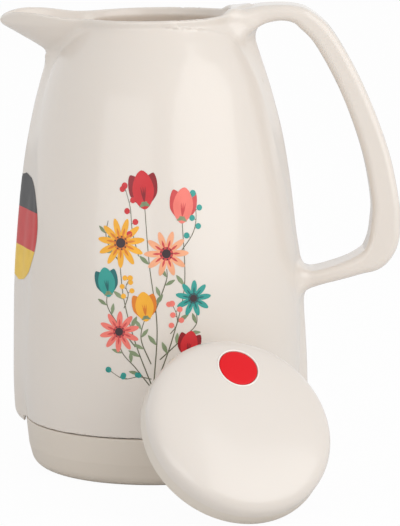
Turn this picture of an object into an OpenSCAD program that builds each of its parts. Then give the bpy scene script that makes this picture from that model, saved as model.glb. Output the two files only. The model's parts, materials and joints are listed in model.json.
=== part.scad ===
// Insulated serving jug with a screw-in glass insert and a lift-off twist lid.
// Millimetres. The origin is the centre of the foot. +Z is up, +X runs to the
// handle and -X to the spout. The lid lies beside the jug, on the -Y side.

/* [Jug body] */
// Height of the mouth's rim above the table
rim_z = 214.8; // [205:0.1:235]
// Height of the seam between the body and the base cap
seam_z = 23.5; // [18:0.5:28]
// Radius of the body at its fullest
body_r = 67.4; // [66.5:0.1:72]
// Radius of the body and the base cap at the seam
seam_r = 65.2; // [64.6:0.1:66]
// Outer radius of the mouth's rim
mouth_r = 38.8; // [37.5:0.1:41]
// Wall of the moulded body
wall = 2.6; // [2:0.1:3]
// How far the two side ridges stand out of the body at half height
ridge_out = 2.6; // [1:0.1:4]
// How far the foot of each ridge hangs below the seam
ridge_drop = 2.8; // [0:0.1:4]

/* [Spout] */
// Reach of the spout's tip from the jug's axis
spout_reach = 72.7; // [66:0.1:80]
// Half width of the spout where it leaves the mouth
spout_half_w = 24; // [20:0.5:27]
// Depth of the spout's keel below the rim
spout_depth = 18.1; // [15:0.1:21]
// Rise of the spout's lip above the rim
spout_rise = 3.1; // [0:0.1:5]
// Droop of the lip at the very tip
spout_droop = 3.7; // [0:0.1:5]

/* [Handle] */
// Width of the handle
handle_w = 24; // [18:0.5:30]
// Reach of the handle's outer edge from the jug's axis
handle_reach = 115; // [108:0.5:124]
// Thickness of the grip, seen from the side
grip_t = 12.6; // [11:0.1:15]
// Height of the handle's top above the rim
handle_rise = 4; // [3:0.1:8]
// Height of the lower arm's middle at the body
arm_z = 88.4; // [80:0.1:100]

/* [Base cap] */
// Radius of the flat foot
foot_r = 56; // [50:0.5:60]
// Thickness of the base cap's floor
floor_t = 3; // [2.5:0.1:4]
// Depth of the shallow ring under the foot
foot_ring_d = 1; // [0.5:0.1:1.5]

/* [Glass insert] */
// Room between the glass and the body's wall, at the seam
glass_room = 8.6; // [7.6:0.1:12]
// Thickness of each glass wall
glass_t = 1.2; // [1:0.1:1.5]
// Width of the vacuum gap
vacuum_gap = 3.6; // [3:0.1:5]
// Inner radius of the glass neck
neck_r = 18.2; // [17:0.1:19]
// Height of the shoulder's start
shoulder_z = 132; // [110:1:140]

/* [Collar and stopper] */
// Radius of the collar's bore
bore_r = 24.2; // [23.2:0.1:25.5]
// Height of the collar's bore
bore_h = 14; // [12:0.5:16]
// Radial clearance of the stopper's lugs in the bore
lug_gap = 0.3; // [0.2:0.05:0.6]
// Radius of the stopper's plug
plug_r = 20; // [19:0.1:20.5]
// Radius of the flange at the plug's end
plug_flange_r = 21.5; // [20.6:0.1:22]
// Depth of the plug below the lid's rim
plug_len = 28; // [26:0.5:32]
// Radius of the valve's spindle
spindle_r = 4; // [3:0.1:5]
// Radial running clearance of spindle and hub
running_gap = 0.06; // [0.02:0.01:0.1]
// Radius of the valve's seat opening
seat_r = 11; // [9:0.5:12]

/* [Lid] */
// Outer radius of the lid
lid_r = 43.5; // [42:0.1:46]
// Height of the band round the lid
band_h = 6.6; // [5:0.1:8]
// Rise of the dome above the band
dome_h = 12; // [11.5:0.1:20]
// Fullness of the dome: 2 is an ellipse, more is flatter on top
dome_power = 3.5; // [2:0.05:4.5]
// Wall of the dome
dome_wall = 2.2; // [1.8:0.1:2.6]
// Radius of the pour mark's disc
dot_r = 9.2; // [6:0.1:11]
// Distance of the pour mark from the lid's axis
dot_offset = 25.7; // [18:0.1:28]
// Turn of the pour mark away from the lid's highest side
dot_turn = -10; // [-30:1:30]

/* [Where the lid lies] */
// Distance of the lid's rim centre from the jug's axis, to the handle side
lid_x = 32.7; // [20:0.1:50]
// Distance of the lid's rim centre in front of the jug's axis
lid_y = 111.3; // [110:0.1:140]
// Direction in which the dome faces, counted from +X
lid_heading = -64.4; // [-90:0.1:-40]

/* [Hidden] */
$fn = 96;

ivory = [0.9, 0.87, 0.83];
base_ivory = [0.82, 0.79, 0.74];
inner_tan = [0.83, 0.77, 0.71];
rubber_grey = [0.45, 0.45, 0.46];
silicone = [0.86, 0.86, 0.84];
red = [0.88, 0.14, 0.18];
steel = [0.75, 0.76, 0.78];
glass_blue = [0.75, 0.85, 0.88, 0.5];

// ---- curves shared by the body's pieces -------------------------------------
function ramp(a, b, t) =
  let (u = min(1, max(0, (t - a) / (b - a)))) u * u * (3 - 2 * u);
function mix(a, b, t) = a + (b - a) * t;
// The greater of two radii, with a fillet of size k where they meet
function soft_max(a, b, k) =
  let (h = max(k - abs(a - b), 0) / k) max(a, b) + h * h * k / 4;
function stretch(p, z, i = 0) =
  (i >= len(p) - 2 || z < p[i + 1][0]) ? i : stretch(p, z, i + 1);
function slope(p, i) =
  let (a = max(0, i - 1), b = min(len(p) - 1, i + 1)) (p[b][1] - p[a][1]) / (p[b][0] - p[a][0]);
// A smooth curve through a few [height, value] points
function curve(p, z0) =
  let (
    z = min(p[len(p) - 1][0], max(p[0][0], z0)),
    i = stretch(p, z),
    h = p[i + 1][0] - p[i][0],
    t = (z - p[i][0]) / h)
  (1 + 2 * t) * pow(1 - t, 2) * p[i][1] + t * pow(1 - t, 2) * h * slope(p, i)
  + t * t * (3 - 2 * t) * p[i + 1][1] + t * t * (t - 1) * h * slope(p, i + 1);

// Heights on the body, as a share of the way from the seam to the rim
function body_z(share) = mix(seam_z, rim_z, share);
// Radii of the body, as a share of the way from the mouth to the fullest part
function body_at(share) = mix(mouth_r, body_r, share);

// The rounded body between the two ridges
panel_curve = [
  [seam_z, seam_r], [body_z(0.08), mix(seam_r, body_r, 0.68)], [body_z(0.23), body_r],
  [body_z(0.38), body_at(0.97)], [body_z(0.53), body_at(0.87)], [body_z(0.68), body_at(0.71)],
  [body_z(0.82), body_at(0.50)], [body_z(0.89), body_at(0.325)], [body_z(0.94), body_at(0.13)],
  [body_z(0.97), body_at(0.03)], [body_z(0.985), mouth_r], [rim_z, mouth_r]];
// How far the ridges stand proud, with a rounded foot
ridge_curve = [
  [seam_z - 3, ridge_out * 0.3], [seam_z - 1.5, ridge_out * 1.2], [seam_z + 0.5, ridge_out * 1.74],
  [body_z(0.034), ridge_out * 1.74], [body_z(0.086), ridge_out * 1.54], [body_z(0.175), ridge_out * 1.1],
  [body_z(0.32), ridge_out * 0.92], [body_z(0.44), ridge_out * 0.84], [body_z(0.57), ridge_out * 0.92],
  [body_z(0.77), ridge_out * 0.92], [body_z(0.87), ridge_out * 1.05], [body_z(0.92), ridge_out * 1.15],
  [body_z(0.945), ridge_out * 1.4], [body_z(0.97), ridge_out * 0.4], [rim_z, 0]];
// Half angle over which each ridge falls away to the body
spout_ridge_angle = [
  [seam_z, 9], [body_z(0.05), 11], [body_z(0.2), 22.4], [body_z(0.4), 26.5], [body_z(0.5), 28],
  [body_z(0.62), 24.3], [body_z(0.75), 16.5], [body_z(0.87), 12.5], [rim_z, 13]];
handle_ridge_angle = [
  [seam_z, 8], [body_z(0.43), 10.5], [body_z(0.67), 17.6], [body_z(0.83), 21.7],
  [body_z(0.89), 29], [body_z(0.93), 37], [body_z(0.955), 50], [body_z(0.97), 78], [rim_z, 88]];

// Inner radius of the body at its foot
foot_wall_r = min(seam_r, panel_r(seam_z + 10)) - wall;
glass_r = min(foot_wall_r, body_r - 2.2 - wall) - glass_room;

spout_z = rim_z - spout_depth;
spout_root = 30;
// The line under the spout, from its root to the tip
keel_curve = [
  [spout_z, mix(spout_root, spout_reach, 0.48)], [spout_z + 1.5, mix(spout_root, spout_reach, 0.495)],
  [spout_z + 7.3, mix(spout_root, spout_reach, 0.685)],
  [rim_z - 3.6, mix(spout_root, spout_reach, 0.975)], [rim_z - 1.6, spout_reach],
  [rim_z + spout_rise, spout_reach]];

function panel_r(z) = curve(panel_curve, z);
// A ridge: flat flanks from its nose down to the body, with a soft crease
function ridge_r(z, phi, crease) =
  let (
    r = panel_r(z),
    nose = r + curve(ridge_curve, z),
    xc = r * cos(crease),
    yc = r * sin(crease),
    flank = 1 / (cos(phi) / nose + sin(phi) * (1 - xc / nose) / yc),
    t = ramp(crease * 0.8, crease * 1.2, phi))
  max(mix(flank, r, t), r * 0.992);
function in_lobe(r, phi, half, reach) =
  pow(r * sin(phi) / half, 1.5) + pow(max(0, r * cos(phi) - spout_root) / (reach - spout_root), 2) < 1;
function lobe_edge(phi, half, reach, lo, hi, n) =
  n == 0 ? (lo + hi) / 2
  : let (m = (lo + hi) / 2) in_lobe(m, phi, half, reach)
      ? lobe_edge(phi, half, reach, m, hi, n - 1)
      : lobe_edge(phi, half, reach, lo, m, n - 1);
// The spout's outline at one height
function spout_r(z, phi) =
  z <= spout_z + 0.05 || phi > 70 ? 0
  : let (
      full = rim_z + 2.2 - spout_z,
      half = spout_half_w * sqrt(min(1, (z - spout_z) / full)))
    lobe_edge(phi, half, curve(keel_curve, z), 5, spout_reach + 5, 14);
// Outer radius of the moulded body in direction a at height z
function outer_r(a, z) =
  let (spout_side = cos(a) < 0, phi = acos(min(1, abs(cos(a)))))
  spout_side
    ? soft_max(ridge_r(z, phi, curve(spout_ridge_angle, z)), spout_r(z, phi), 6)
    : ridge_r(z, phi, curve(handle_ridge_angle, z));
function lip_r(a) = outer_r(a, rim_z + spout_rise);
// The rim is level round the mouth, climbs along the spout and droops at its tip
function lip_z(a) =
  let (r = lip_r(a), beyond = max(0, r - spout_reach * 0.88) / (spout_reach * 0.12))
  rim_z + spout_rise * ramp(mouth_r - 1, spout_reach * 0.83, r) - spout_droop * pow(beyond, 2.5);
// The ridges' feet hang below the seam, outside the base cap
function foot_z(a) =
  seam_z + seam_gap - ridge_drop * ramp(0.8, 2.6, outer_r(a, seam_z + seam_gap) - seam_r);

// ---- shared sizes ------------------------------------------------------------
seam_gap = 0.3;
fit_gap = 0.3;
// Directions of the body's columns: close together at the ridges and the spout
spout_quarter = [0, 2, 4.5, 7.5, 10.5, 13.5, 16.5, 19.5, 22.5, 25.5, 28.5, 31.5, 35, 39, 44, 50, 58, 68, 79];
handle_quarter = [0, 2, 4.5, 7.5, 11, 15, 19, 23, 27.5, 33, 39, 46, 54, 64, 77];
last_h = len(handle_quarter) - 1;
last_s = len(spout_quarter) - 1;
columns = concat(
  handle_quarter, [90], [for (i = [last_s : -1 : 0]) 180 - spout_quarter[i]],
  [for (i = [1 : last_s]) 180 + spout_quarter[i]], [270],
  [for (i = [last_h : -1 : 1]) 360 - handle_quarter[i]]);
rows = [0, 0.012, 0.03, 0.06, 0.11, 0.17, 0.24, 0.31, 0.38, 0.45, 0.52, 0.59, 0.65, 0.71, 0.765,
  0.81, 0.845, 0.875, 0.9, 0.915, 0.93, 0.945, 0.96, 0.972, 0.985, 1];

// Heights inside the jug, from the top down
lid_clear = 2.5;
closed_lid_z = rim_z + lid_clear;
ledge_z = closed_lid_z - plug_len - fit_gap;
ledge_t = 2.5;
collar_top_z = ledge_z + bore_h;
collar_wall = 2.8;
neck_seal_t = 2.5;
neck_top_z = ledge_z - ledge_t - neck_seal_t;
mouth_floor_z = collar_top_z - 2.4;
mouth_floor_t = 2.6;
collar_hole_r = bore_r + collar_wall + 2;
flask_bottom_z = floor_t + 8.6;

// ---- jug ---------------------------------------------------------------------
lip_round = 0.7;
bowl_rows = [1, 0.86, 0.7, 0.5, 0.3, 0.12, 0];
cavity_rows = [0.9, 0.84, 0.75, 0.64, 0.52, 0.4, 0.28, 0.16, 0.05];
function outer_point(a, s) =
  let (z = mix(foot_z(a), lip_z(a) - lip_round, s)) [outer_r(a, z), z];
// The pouring bowl and the spout's channel
function bowl_point(a, s) =
  let (
    z = mix(mouth_floor_z, lip_z(a) - lip_round, s),
    along = cos(a) < 0 ? 1 - ramp(20, 45, acos(min(1, abs(cos(a))))) : 0,
    thick = wall * (1 + 0.9 * along * (1 - ramp(0.9, 1, s))) + (s == 0 ? 2.2 : 0))
  [outer_r(a, z) - thick, z];
// One closed section through the wall in direction a, as [radius, height]
function section_at(a) =
  let (
    top = mouth_floor_z - mouth_floor_t,
    r_lip = lip_r(a),
    r_foot = min(seam_r + 2 * fit_gap, outer_r(a, seam_z + seam_gap) - 0.4))
  concat(
    [for (s = rows) outer_point(a, s)],
    [[r_lip - lip_round, lip_z(a)], [r_lip - wall + lip_round, lip_z(a)]],
    [for (s = bowl_rows) bowl_point(a, s)],
    [[collar_hole_r, mouth_floor_z], [collar_hole_r, top], [panel_r(top) - wall * 1.3, top]],
    [for (s = cavity_rows) [panel_r(body_z(s)) - wall, body_z(s)]],
    [[seam_r - wall, seam_z + seam_gap], [r_foot - 0.25, seam_z + seam_gap],
      [r_foot, foot_z(a) + 0.01]]);
module body() {
  grid = [for (a = columns) [for (p = section_at(a)) [p[0] * cos(a), p[0] * sin(a), p[1]]]];
  n = len(grid[0]);
  m = len(grid);
  polyhedron(
    [for (line = grid) each line],
    [for (i = [0 : m - 1]) let (k = (i + 1) % m) for (j = [0 : n - 1]) let (l = (j + 1) % n)
      each [[i * n + j, i * n + l, k * n + l], [i * n + j, k * n + l, k * n + j]]],
    convexity = 8);
}
// Handle: middle line [x, z], half thickness, half width
hw = handle_w / 2;
ht = grip_t / 2;
top_z = rim_z + handle_rise - ht * 0.59;
grip_x = handle_reach - ht * 1.05;
// Places on the handle: shares of the way out to the grip, and of the way up from the arm
function out(share) = mix(mouth_r, grip_x, share);
function up(share) = mix(arm_z, top_z, share);
handle_line = [
  [[out(-0.057), up(0.955)], ht, hw * 1.22], [[out(0.057), up(0.971)], ht * 0.9, hw * 1.12],
  [[out(0.172), up(0.993)], ht * 0.7, hw], [[out(0.302), up(1)], ht * 0.595, hw],
  [[out(0.402), up(0.992)], ht * 0.65, hw], [[out(0.474), up(0.969)], ht * 0.76, hw],
  [[out(0.589), up(0.904)], ht * 0.83, hw], [[out(0.738), up(0.757)], ht * 0.87, hw],
  [[out(0.856), up(0.602)], ht * 0.91, hw], [[out(0.945), up(0.445)], ht * 0.97, hw],
  [[out(0.996), up(0.284)], ht * 1.02, hw], [[out(0.996), up(0.202)], ht * 1.09, hw],
  [[out(0.976), up(0.129)], ht * 1.12, hw], [[out(0.914), up(0.075)], ht * 0.98, hw],
  [[out(0.809), up(0.047)], ht * 0.71, hw], [[out(0.694), up(0.025)], ht * 0.62, hw],
  [[body_r * 1.157, up(0.006)], ht * 0.57, hw], [[body_r * 1.068, up(-0.003)], ht * 0.67, hw],
  [[body_r * 0.979, up(-0.006)], ht * 1.03, hw * 1.08]];
slices_between = 2;
function spline(a, b, c, d, t) =
  0.5 * (2 * b + (c - a) * t + (2 * a - 5 * b + 4 * c - d) * t * t + (3 * b - a - 3 * c + d) * t * t * t);
function handle_at(u) =
  let (n = len(handle_line) - 1, i = min(floor(u), n - 1), t = u - i,
    a = handle_line[max(0, i - 1)], b = handle_line[i],
    c = handle_line[i + 1], d = handle_line[min(n, i + 2)])
  [spline(a[0], b[0], c[0], d[0], t), spline(a[1], b[1], c[1], d[1], t), spline(a[2], b[2], c[2], d[2], t)];
function blunt(c, power) = sign(c) * pow(abs(c), power);
// One cross-section: thickness lies across the middle line, width along Y
section = [0 : 22.5 : 337.5];
function handle_ring(u) =
  let (
    s = handle_at(u),
    way = handle_at(min(len(handle_line) - 1, u + 0.05))[0] - handle_at(max(0, u - 0.05))[0],
    across = [-way[1], way[0]] / norm(way))
  [for (a = section)
    let (h = s[1] * blunt(cos(a), 0.62), w = s[2] * blunt(sin(a), 0.62))
      [s[0][0] + across[0] * h, -w, s[0][1] + across[1] * h]];
module handle_bar() {
  count = (len(handle_line) - 1) * slices_between;
  n = len([for (a = section) a]);
  polyhedron(
    [for (j = [0 : count]) each handle_ring(j / slices_between)],
    concat(
      [[for (i = [0 : n - 1]) i], [for (i = [n - 1 : -1 : 0]) count * n + i]],
      [for (j = [0 : count - 1]) for (i = [0 : n - 1]) let (k = (i + 1) % n)
        each [[j * n + i, (j + 1) * n + i, (j + 1) * n + k], [j * n + i, (j + 1) * n + k, j * n + k]]]),
    convexity = 6);
}
// Ribs under the bowl's floor, running out into the wall
gusset_t = 2;
gusset_low = mouth_floor_z - mouth_floor_t - 12;
gusset_in = 34;
module gussets() {
  top = mouth_floor_z - mouth_floor_t;
  top_r = panel_r(top + 0.7) - wall * 0.5;
  low_r = panel_r(gusset_low) - wall * 0.5;
  for (a = [22.5 : 45 : 360])
    rotate([0, 0, a])
      hull() {
        translate([gusset_in, -gusset_t / 2, top])
          cube([top_r - gusset_in, gusset_t, 0.7]);
        translate([low_r - 1.6, -gusset_t / 2, gusset_low])
          cube([1.6, gusset_t, 0.5]);
      }
}
module outer_shell() {
  color(ivory)
    difference() {
      union() {
        body();
        gussets();
      }
      // Room for the base cap where the ridges' feet begin
      translate([0, 0, seam_z - ridge_drop - 1])
        cylinder(r = seam_r + fit_gap / 2, h = ridge_drop + 1 + seam_gap / 2);
    }
}
// The body's handle side, filled in: the handle ends on its surface
root_columns = concat([for (i = [11 : -1 : 1]) -handle_quarter[i]], [for (i = [0 : 11]) handle_quarter[i]]);
module body_at_handle() {
  grid = [for (a = root_columns)
    let (line = concat(
      [[8, seam_z]], [for (s = rows) outer_point(a, s)],
      [[lip_r(a) - lip_round, lip_z(a)], [8, lip_z(a)]]))
    [for (p = line) [p[0] * cos(a), p[0] * sin(a), p[1]]]];
  n = len(grid[0]);
  m = len(grid);
  polyhedron(
    [for (line = grid) each line],
    concat(
      [[for (j = [n - 1 : -1 : 0]) j], [for (j = [0 : n - 1]) (m - 1) * n + j]],
      [for (i = [0 : m - 2]) for (j = [0 : n - 1]) let (l = (j + 1) % n)
        each [[i * n + j, i * n + l, (i + 1) * n + l], [i * n + j, (i + 1) * n + l, (i + 1) * n + j]]]),
    convexity = 6);
}
module handle() {
  color(ivory)
    difference() {
      handle_bar();
      body_at_handle();
      translate([0, 0, mouth_floor_z])
        cylinder(r = mouth_r - wall, h = 40, $fn = 64);
    }
}

// A ring with a rectangular section, from z0 to z1
module ring(r_in, r_out, z0, z1) {
  rotate_extrude()
    translate([r_in, z0])
      square([r_out - r_in, z1 - z0]);
}
// Evenly spaced pieces of such a ring
module ring_pieces(r_in, r_out, z0, z1, count, width, start) {
  for (i = [0:count - 1])
    rotate([0, 0, start + i * 360 / count - width / 2])
      rotate_extrude(angle = width)
        translate([r_in, z0])
          square([r_out - r_in, z1 - z0]);
}

lug_count = 3;
collar_lug_w = 56;
lug_t = 2.4;
collar_flange_r = collar_hole_r + 3.4;
collar_flange_t = 1.6;
// The threaded insert in the mouth: a tube with a sealing ledge and three lugs
module pouring_collar() {
  tube_r = bore_r + collar_wall;
  color(inner_tan) {
    difference() {
      union() {
        translate([0, 0, ledge_z - ledge_t])
          cylinder(r = tube_r, h = collar_top_z - ledge_z + ledge_t);
        ring(tube_r - 0.5, collar_flange_r, mouth_floor_z + 0.05, mouth_floor_z + collar_flange_t);
        ring(tube_r - 0.5, tube_r + 1.6, mouth_floor_z - mouth_floor_t - 2.6, mouth_floor_z + 0.1);
      }
      translate([0, 0, ledge_z])
        cylinder(r = bore_r, h = bore_h + 1);
      translate([0, 0, ledge_z - ledge_t - 1])
        cylinder(r = neck_r + 0.6, h = ledge_t + 2);
    }
    ring_pieces(plug_flange_r + 0.5, bore_r + 0.2, collar_top_z - lug_t, collar_top_z, lug_count, collar_lug_w, 0);
  }
}
neck_out_r = neck_r + glass_t * 2 + 1.4;
// Soft ring between the glass neck and the collar
module neck_seal() {
  color(silicone)
    ring(neck_r + 0.6, neck_out_r + 1.2, neck_top_z, ledge_z - ledge_t);
}

// One wall of the glass: half an outline, d inside the outer face, ending at radius neck
function glass_side(d, neck) =
  let (r = glass_r - d, bottom = flask_bottom_z + d, corner = r * 0.42,
    s_z = shoulder_z - d * 0.3, s_h = neck_top_z - 9 - shoulder_z)
  concat(
    [[0, bottom]],
    [for (a = [-90:15:0]) [r - corner + corner * cos(a), bottom + corner + corner * sin(a)]],
    [for (t = [0:0.125:1]) [neck + (r - neck) * cos(90 * t), s_z + s_h * sin(90 * t)]]);
module glass_wall(d, neck) {
  rotate_extrude()
    polygon(concat(glass_side(d, neck), [[neck, neck_top_z - 2.4], [0, neck_top_z - 2.4]]));
}
// Double-walled glass: one piece, joined round the lip, with its sealed tip below
module glass_flask() {
  gap_d = glass_t + vacuum_gap;
  color(glass_blue)
    difference() {
      union() {
        glass_wall(0, neck_out_r);
        ring(neck_r - 1, neck_out_r, neck_top_z - 3, neck_top_z);
        translate([0, 0, flask_bottom_z - 4.6])
          cylinder(r1 = 1.2, r2 = 3, h = 5);
      }
      difference() {
        glass_wall(glass_t, neck_out_r - glass_t);
        glass_wall(gap_d, neck_r + glass_t);
      }
      glass_wall(gap_d + glass_t, neck_r);
      translate([0, 0, neck_top_z - 30])
        cylinder(r = neck_r, h = 40);
    }
}
spacer_z = 60;
// Three small discs that hold the glass walls apart
module glass_spacers() {
  color(steel)
    for (a = [0, 120, 240])
      rotate([0, 0, a])
        translate([glass_r - glass_t - vacuum_gap + 0.12, 0, spacer_z])
          rotate([0, 90, 0])
            cylinder(r = 4, h = vacuum_gap - 0.6);
}
centring_z = 112;
// Foam ring that centres the glass in the body
module centring_ring() {
  color(rubber_grey)
    ring(glass_r + 0.1, panel_r(centring_z + 5) - wall - 0.6, centring_z - 5, centring_z + 5);
}

// ---- base --------------------------------------------------------------------
shell_in_r = foot_wall_r;
// The shell's wall is faceted, so what turns inside it keeps this much clear
facet_gap = 0.9;
bayonet_z = seam_z + 4.2;
bayonet_t = 3;
bayonet_in_r = shell_in_r - 2.4;
base_lug_w = 50;
spigot_wall = 2.4;
spigot_r = bayonet_in_r - fit_gap;
// Ring inside the body's foot that the base cap locks under, with three gaps
module bayonet_ring() {
  color(ivory)
    ring_pieces(bayonet_in_r, shell_in_r - 0.2, bayonet_z, bayonet_z + bayonet_t, lug_count,
      120 - base_lug_w - 6, 0);
}
corner_r = 7;
// The base cap's outline from the flat foot up to the seam
base_side = concat(
  [for (a = [0:15:75]) [foot_r + corner_r * sin(a), corner_r * (1 - cos(a))]],
  [[seam_r - 1.2, seam_z * 0.45], [seam_r, seam_z]]);
module base_cap() {
  inner_z = floor_t;
  color(base_ivory) {
    difference() {
      rotate_extrude()
        polygon(concat([[0, 0]], base_side, [[0, seam_z]]));
      translate([0, 0, floor_t])
        cylinder(r1 = min(foot_r, spigot_r) - 2, r2 = spigot_r - 0.7, h = seam_z - floor_t + 0.01);
      // shallow ring under the foot
      translate([0, 0, -1])
        difference() {
          cylinder(r = foot_r - 6, h = 1 + foot_ring_d);
          translate([0, 0, -1])
            cylinder(r = foot_r - 14, h = 3 + foot_ring_d);
        }
    }
    ring(spigot_r - spigot_wall, spigot_r, seam_z - 3, bayonet_z + bayonet_t + fit_gap + 2.6);
    ring_pieces(spigot_r - 0.2, shell_in_r - facet_gap, bayonet_z + bayonet_t + fit_gap,
      bayonet_z + bayonet_t + fit_gap + 2.6, lug_count, base_lug_w, 0);
    // cup that holds the cushion
    ring(31, 33, floor_t - 0.1, floor_t + 5);
  }
}
// Seal between the base cap's shoulder and the body's foot
module base_seal() {
  color(rubber_grey)
    ring(spigot_r, shell_in_r - facet_gap, seam_z, bayonet_z - fit_gap);
}
// Rubber cup under the glass
module base_cushion() {
  color(rubber_grey)
    difference() {
      translate([0, 0, floor_t])
        cylinder(r = 30.8, h = flask_bottom_z - floor_t - fit_gap);
      translate([0, 0, floor_t - 1])
        cylinder(r = 6, h = 20);
    }
}

// ---- lid, in its own frame: the rim plane is z = 0 and the dome faces +Z -----
lid_tilt = atan(plug_len / (lid_r - plug_flange_r));
module lid_place() {
  translate([lid_x, -lid_y, lid_r * sin(lid_tilt)])
    rotate([0, lid_tilt, lid_heading])
      children();
}
function dome_z(r) = band_h + dome_h * pow(1 - pow(min(1, r / (lid_r - band_in)), dome_power), 1 / dome_power);
band_in = 0.3;
dome_steps = 14;
hub_r = 14;
hub_top = 15;
socket_wall = 2;
flange_r = lid_r - dome_wall - 0.8;
dot_recess = 1.2;
dot_z = dome_z(dot_offset);
dot_tilt = atan((dome_z(dot_offset - dot_r) - dome_z(dot_offset + dot_r)) / (2 * dot_r));
module dot_place() {
  rotate([0, 0, dot_turn])
    translate([-dot_offset, 0, dot_z])
      rotate([0, -dot_tilt, 0])
        children();
}
module lid_dome() {
  color(ivory)
    lid_place() {
      difference() {
        rotate_extrude()
          difference() {
            polygon(concat(
              [[0, 0], [lid_r, 0], [lid_r - band_in, band_h]],
              [for (i = [1:dome_steps]) let (r = (lid_r - band_in) * cos(90 * i / dome_steps)) [r, dome_z(r)]]));
            polygon(concat(
              [[0, -1], [lid_r - dome_wall, -1], [lid_r - dome_wall - band_in, band_h]],
              [for (i = [1:dome_steps]) let (r = (lid_r - band_in) * cos(90 * i / dome_steps))
                [r * (1 - dome_wall / lid_r), dome_z(r) - dome_wall]]));
          }
        dot_place()
          translate([0, 0, -dot_recess])
            cylinder(r = dot_r, h = 10);
      }
      ring(hub_r, hub_r + socket_wall, hub_top - 6, dome_z(hub_r + socket_wall) - dome_wall + 0.6);
    }
}
// Red disc that shows the pouring side
module pour_mark() {
  color(red)
    lid_place()
      dot_place()
        translate([0, 0, -dot_recess])
          cylinder(r = dot_r - 0.05, h = dot_recess + 0.15);
}
journal_r = 6.2;
journal_top = 9.6;
flange_z = 0.8;
flange_t = 2.2;
hub_z = flange_z + flange_t + 0.1;
clip_z = 7.7;
clip_t = 0.8;
// The dome's hub: turns on the stopper's journal and drives the spindle
module drive_hub() {
  color(inner_tan)
    lid_place()
      rotate_extrude()
        polygon([
          [journal_r + running_gap, hub_z], [hub_r, hub_z], [hub_r, hub_top],
          [spindle_r + running_gap, hub_top], [spindle_r + running_gap, journal_top + 0.6],
          [journal_r + 1.6, journal_top + 0.6], [journal_r + 1.6, clip_z - 0.2],
          [journal_r + running_gap, clip_z - 0.2]]);
}
puck_z = 4.6;
puck_r = 37.5;
// Foam that fills the dome
module insulation_puck() {
  gap = 0.5;
  color([0.93, 0.9, 0.8])
    lid_place()
      rotate_extrude()
        polygon(concat(
          [[hub_r + socket_wall + gap, puck_z], [puck_r, puck_z]],
          [for (r = [puck_r:-3:hub_r + socket_wall + gap]) [r, dome_z(r * 1.055) - dome_wall - gap]],
          [[hub_r + socket_wall + gap, dome_z(hub_r + socket_wall + gap) - dome_wall - gap - 0.4]]));
}
window_count = 4;
window_w = 14;
window_z = [-12, -2];
groove_z = [-26.4, -22.6];
plug_wall = 3.2;
seat_t = 2.5;
// Plug with pouring windows, flange, spindle guide, lugs and valve seat
module stopper_body() {
  color(base_ivory)
    lid_place() {
      difference() {
        union() {
          translate([0, 0, flange_z])
            cylinder(r = flange_r, h = flange_t);
          translate([0, 0, -plug_len + seat_t / 2])
            cylinder(r = plug_r, h = plug_len - seat_t / 2 + flange_z + 0.1);
          translate([0, 0, -plug_len])
            cylinder(r = plug_flange_r, h = plug_len + groove_z[0]);
          translate([0, 0, flange_z + flange_t - 0.1])
            cylinder(r = journal_r, h = journal_top - flange_z - flange_t + 0.1);
        }
        difference() {
          translate([0, 0, -plug_len + seat_t])
            cylinder(r = plug_r - plug_wall, h = plug_len - seat_t + flange_z);
          translate([0, 0, -9])
            cylinder(r = journal_r, h = 12);
        }
        translate([0, 0, -plug_len - 1])
          cylinder(r = seat_r, h = seat_t + 2);
        translate([0, 0, -12])
          cylinder(r = spindle_r + running_gap, h = 30);
        for (i = [0:window_count - 1])
          rotate([0, 0, i * 360 / window_count])
            translate([plug_r - plug_wall - 3, -window_w / 2, window_z[0]])
              cube([plug_wall + 6, window_w, window_z[1] - window_z[0]]);
        ring(plug_r - 1.4, plug_r + 3, groove_z[0], groove_z[1]);
        ring(journal_r - 1, journal_r + 2, clip_z, clip_z + clip_t);
      }
      ring_pieces(plug_r - 0.4, bore_r - lug_gap, -20.4, -17.6, lug_count, 44, 60);
    }
}
// Spring clip that keeps the hub on its journal
module hub_clip() {
  color(steel)
    lid_place()
      rotate([0, 0, 15])
        rotate_extrude(angle = 330)
          translate([journal_r - 0.95, clip_z + 0.05])
            square([1.9, clip_t - 0.1]);
}
// Silicone ring in the plug's groove
module stopper_seal() {
  color(silicone)
    lid_place()
      ring(plug_r - 1.35, plug_flange_r + 0.3, groove_z[0] + 0.05, groove_z[1] - 0.05);
}
valve_seat_z = -plug_len + seat_t;
seal_t = 1.4;
disc_t = 2.4;
disc_r = 14.2;
module valve_seal() {
  color(silicone)
    lid_place()
      ring(seat_r - 1.4, disc_r, valve_seat_z, valve_seat_z + seal_t);
}
module valve_disc() {
  color(inner_tan)
    lid_place()
      union() {
        ring(1.6, disc_r, valve_seat_z + seal_t, valve_seat_z + seal_t + disc_t);
        ring(1.6, seat_r - 1.6, valve_seat_z - 0.6, valve_seat_z + seal_t + 0.1);
      }
}
spindle_low = valve_seat_z + seal_t + disc_t;
spindle_top = journal_top + 2.4;
module valve_spindle() {
  color(steel)
    lid_place()
      translate([0, 0, spindle_low])
        cylinder(r = spindle_r, h = spindle_top - spindle_low);
}
// Screw that holds the disc to the spindle
module spindle_screw() {
  color(steel)
    lid_place() {
      translate([0, 0, valve_seat_z - 2.2])
        cylinder(r = 4.5, h = 1.6);
      translate([0, 0, valve_seat_z - 0.7])
        cylinder(r = 1.55, h = spindle_low - valve_seat_z + 0.7);
    }
}

outer_shell();
handle();
pouring_collar();
neck_seal();
glass_flask();
glass_spacers();
centring_ring();
bayonet_ring();
base_cushion();
base_seal();
base_cap();
lid_dome();
pour_mark();
drive_hub();
insulation_puck();
stopper_body();
hub_clip();
stopper_seal();
valve_spindle();
valve_disc();
valve_seal();
spindle_screw();
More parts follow.
